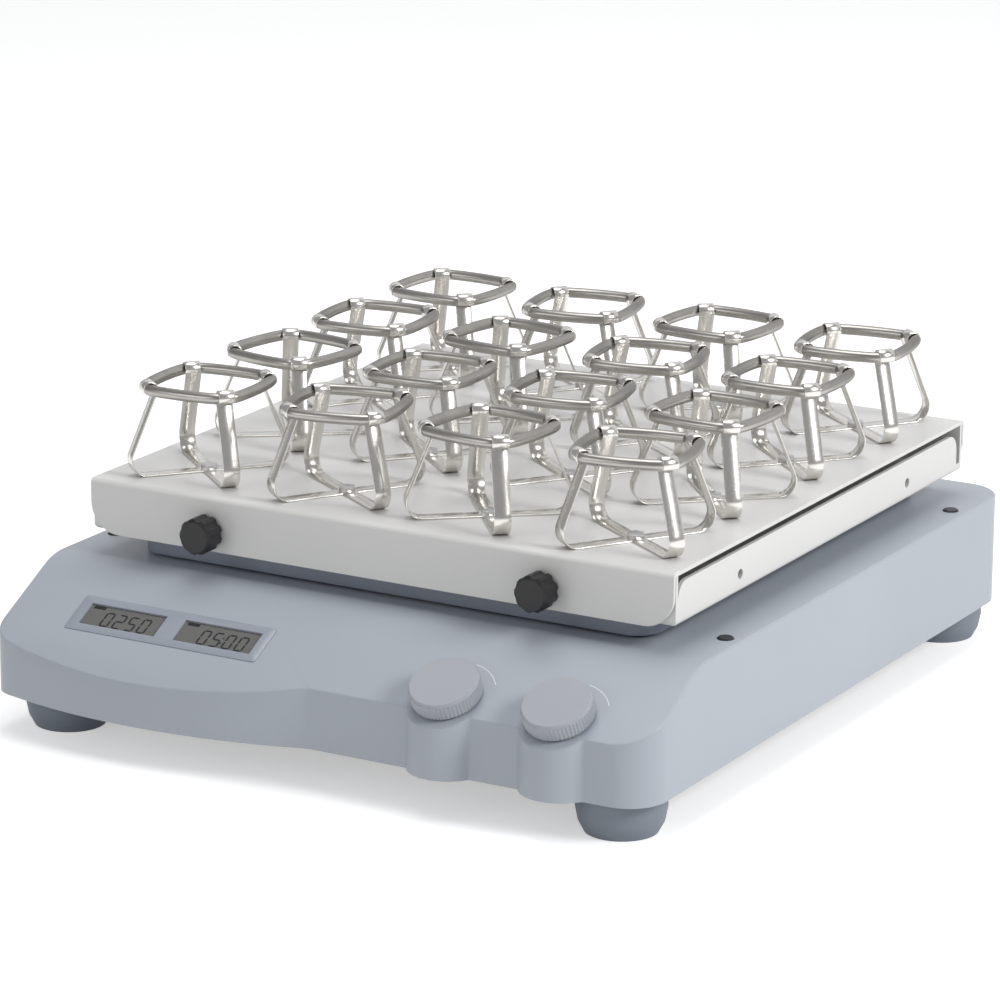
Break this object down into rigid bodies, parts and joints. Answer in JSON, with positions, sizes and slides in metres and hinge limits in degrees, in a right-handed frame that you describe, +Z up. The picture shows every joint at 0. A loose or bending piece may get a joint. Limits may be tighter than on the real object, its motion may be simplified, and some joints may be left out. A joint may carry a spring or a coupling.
{
  "type": "orbital shaker",
  "caption": "Low benchtop orbital shaker: sloping control panel with display and two knobs, four feet, and a tray of spring clamps that circles on an eccentric crank.",
  "frame": {"origin": "on the bench, under the middle of the housing", "axes": "+Z up, -Y towards the user and the control panel, +X to the user's right; the housing is longest along Y"},
  "size_m": [0.37, 0.428, 0.1683],
  "materials": {
    "housing_paint": "satin light blue-grey enamel",
    "base_steel": "matt grey coated sheet",
    "foot_rubber": "matt grey rubber",
    "zinc_screws": "zinc-plated",
    "black_rubber": "black rubber",
    "bezel_plastic": "light grey plastic",
    "lcd_glass": "grey liquid crystal display behind a clear face",
    "circuit_board": "green laminate with components",
    "encoder_metal": "die-cast encoder case",
    "knob_plastic": "matt grey plastic",
    "turned_steel": "turned and ground",
    "cast_aluminium": "cast and machined",
    "grey_iron": "sawn plate",
    "motor_black": "black",
    "black_plastic": "black moulding",
    "tray_steel": "white powder-coated sheet",
    "clamp_stainless": "bright stainless spring strip",
    "ring_spring": "bright close-wound spring wire",
    "thumb_plastic": "black moulding with scallops"
  },
  "bodies": {
    "housing": {"housing_shell": "housing_paint", "base_plate": "base_steel", "foot_front_left": "foot_rubber", "foot_front_right": "foot_rubber", "foot_rear_left": "foot_rubber", "foot_rear_right": "foot_rubber", "foot_screws": "zinc_screws", "housing_screws": "zinc_screws", "hole_plugs": "black_rubber", "display_bezel": "bezel_plastic", "lcd_modules": "lcd_glass", "control_board": "circuit_board", "encoder_bodies": "encoder_metal", "main_bearing_housing": "cast_aluminium", "main_bearings": "turned_steel", "idler_bearing_housings": "cast_aluminium", "idler_bearings": "turned_steel", "motor": "motor_black", "motor_bracket": "base_steel", "drive_belt": "black_rubber", "power_supply": "circuit_board", "power_inlet": "black_plastic", "switch_frame": "black_plastic"},
    "crank": {"crankshaft": "turned_steel", "drive_pulley": "cast_aluminium", "counterweight": "grey_iron"},
    "table": {"table_plate": "cast_aluminium", "table_bearings": "turned_steel", "lower_pan": "tray_steel", "pan_screws": "zinc_screws", "upper_tray": "tray_steel", "clamp_legs_row_1": "clamp_stainless", "clamp_legs_row_2": "clamp_stainless", "clamp_legs_row_3": "clamp_stainless", "clamp_legs_row_4": "clamp_stainless", "clamp_rings_row_1": "ring_spring", "clamp_rings_row_2": "ring_spring", "clamp_rings_row_3": "ring_spring", "clamp_rings_row_4": "ring_spring", "clamp_screws": "clamp_stainless"},
    "idler_front_left": {"idler_crank_front_left": "turned_steel"},
    "idler_front_right": {"idler_crank_front_right": "turned_steel"},
    "idler_rear_left": {"idler_crank_rear_left": "turned_steel"},
    "idler_rear_right": {"idler_crank_rear_right": "turned_steel"},
    "motor_rotor": {"motor_pulley": "cast_aluminium"},
    "speed_encoder_rotor": {"speed_rotor": "encoder_metal"},
    "speed_control": {"speed_knob": "knob_plastic", "speed_shaft": "turned_steel"},
    "time_encoder_rotor": {"time_rotor": "encoder_metal"},
    "time_control": {"time_knob": "knob_plastic", "time_shaft": "turned_steel"},
    "rocker": {"power_rocker": "black_plastic"},
    "washer_front_left": {"thumb_washer_front_left": "zinc_screws"},
    "thumb_front_left": {"thumb_screw_front_left": "thumb_plastic"},
    "washer_front_right": {"thumb_washer_front_right": "zinc_screws"},
    "thumb_front_right": {"thumb_screw_front_right": "thumb_plastic"},
    "washer_rear_left": {"thumb_washer_rear_left": "zinc_screws"},
    "thumb_rear_left": {"thumb_screw_rear_left": "thumb_plastic"},
    "washer_rear_right": {"thumb_washer_rear_right": "zinc_screws"},
    "thumb_rear_right": {"thumb_screw_rear_right": "thumb_plastic"}
  },
  "joints": [
    {"name": "crank_spin", "type": "hinge", "parent": "housing", "child": "crank", "pos_m": [0, 0.0334, 0.05], "axis": [0, 0, 1], "continuous": true},
    {"name": "table_orbit", "type": "hinge", "parent": "crank", "child": "table", "pos_m": [0, 0.0284, 0.085], "axis": [0, 0, 1], "continuous": true},
    {"name": "idler_front_left_spin", "type": "hinge", "parent": "housing", "child": "idler_front_left", "pos_m": [-0.11, -0.0766, 0.065], "axis": [0, 0, 1], "continuous": true},
    {"name": "idler_front_right_spin", "type": "hinge", "parent": "housing", "child": "idler_front_right", "pos_m": [0.11, -0.0766, 0.065], "axis": [0, 0, 1], "continuous": true},
    {"name": "idler_rear_left_spin", "type": "hinge", "parent": "housing", "child": "idler_rear_left", "pos_m": [-0.11, 0.1434, 0.065], "axis": [0, 0, 1], "continuous": true},
    {"name": "idler_rear_right_spin", "type": "hinge", "parent": "housing", "child": "idler_rear_right", "pos_m": [0.11, 0.1434, 0.065], "axis": [0, 0, 1], "continuous": true},
    {"name": "motor_spin", "type": "hinge", "parent": "housing", "child": "motor_rotor", "pos_m": [-0.108, 0.0334, 0.04], "axis": [0, 0, 1], "continuous": true},
    {"name": "speed_turn", "type": "hinge", "parent": "housing", "child": "speed_encoder_rotor", "pos_m": [0.0723, -0.1882, 0.05644], "axis": [0, -0.4648, 0.8854], "continuous": true},
    {"name": "speed_push", "type": "slide", "parent": "speed_encoder_rotor", "child": "speed_control", "axis": [0, 0.4648, -0.8854], "range_m": [0, 0.0008], "stiffness_N_per_m": 4000, "springref_m": -0.0006},
    {"name": "time_turn", "type": "hinge", "parent": "housing", "child": "time_encoder_rotor", "pos_m": [0.1337, -0.1882, 0.05644], "axis": [0, -0.4648, 0.8854], "continuous": true},
    {"name": "time_push", "type": "slide", "parent": "time_encoder_rotor", "child": "time_control", "axis": [0, 0.4648, -0.8854], "range_m": [0, 0.0008], "stiffness_N_per_m": 4000, "springref_m": -0.0006},
    {"name": "rocker_switch", "type": "hinge", "parent": "housing", "child": "rocker", "pos_m": [0.128, 0.2095, 0.047], "axis": [-1, 0, 0], "range_deg": [0, 16]},
    {"name": "washer_front_left_slide", "type": "slide", "parent": "table", "child": "washer_front_left", "axis": [0, -1, 0], "range_m": [0, 0.0064]},
    {"name": "thumb_front_left_turn", "type": "hinge", "parent": "washer_front_left", "child": "thumb_front_left", "pos_m": [-0.0958, -0.13775, 0.1006], "axis": [0, -1, 0], "range_deg": [0, 2880]},
    {"name": "washer_front_right_slide", "type": "slide", "parent": "table", "child": "washer_front_right", "axis": [0, -1, 0], "range_m": [0, 0.0064]},
    {"name": "thumb_front_right_turn", "type": "hinge", "parent": "washer_front_right", "child": "thumb_front_right", "pos_m": [0.0958, -0.13775, 0.1006], "axis": [0, -1, 0], "range_deg": [0, 2880]},
    {"name": "washer_rear_left_slide", "type": "slide", "parent": "table", "child": "washer_rear_left", "axis": [0, 1, 0], "range_m": [0, 0.0064]},
    {"name": "thumb_rear_left_turn", "type": "hinge", "parent": "washer_rear_left", "child": "thumb_rear_left", "pos_m": [-0.0958, 0.19455, 0.1006], "axis": [0, 1, 0], "range_deg": [0, 2880]},
    {"name": "washer_rear_right_slide", "type": "slide", "parent": "table", "child": "washer_rear_right", "axis": [0, 1, 0], "range_m": [0, 0.0064]},
    {"name": "thumb_rear_right_turn", "type": "hinge", "parent": "washer_rear_right", "child": "thumb_rear_right", "pos_m": [0.0958, 0.19455, 0.1006], "axis": [0, 1, 0], "range_deg": [0, 2880]}
  ],
  "couplings": [
    {"joint": "table_orbit", "follows": "crank_spin", "ratio": -1},
    {"joint": "idler_front_left_spin", "follows": "crank_spin", "ratio": 1},
    {"joint": "idler_front_right_spin", "follows": "crank_spin", "ratio": 1},
    {"joint": "idler_rear_left_spin", "follows": "crank_spin", "ratio": 1},
    {"joint": "idler_rear_right_spin", "follows": "crank_spin", "ratio": 1},
    {"joint": "motor_spin", "follows": "crank_spin", "ratio": 4},
    {"joint": "washer_front_left_slide", "follows": "thumb_front_left_turn", "m_per_rad": 0.0001273},
    {"joint": "washer_front_right_slide", "follows": "thumb_front_right_turn", "m_per_rad": 0.0001273},
    {"joint": "washer_rear_left_slide", "follows": "thumb_rear_left_turn", "m_per_rad": 0.0001273},
    {"joint": "washer_rear_right_slide", "follows": "thumb_rear_right_turn", "m_per_rad": 0.0001273}
  ]
}
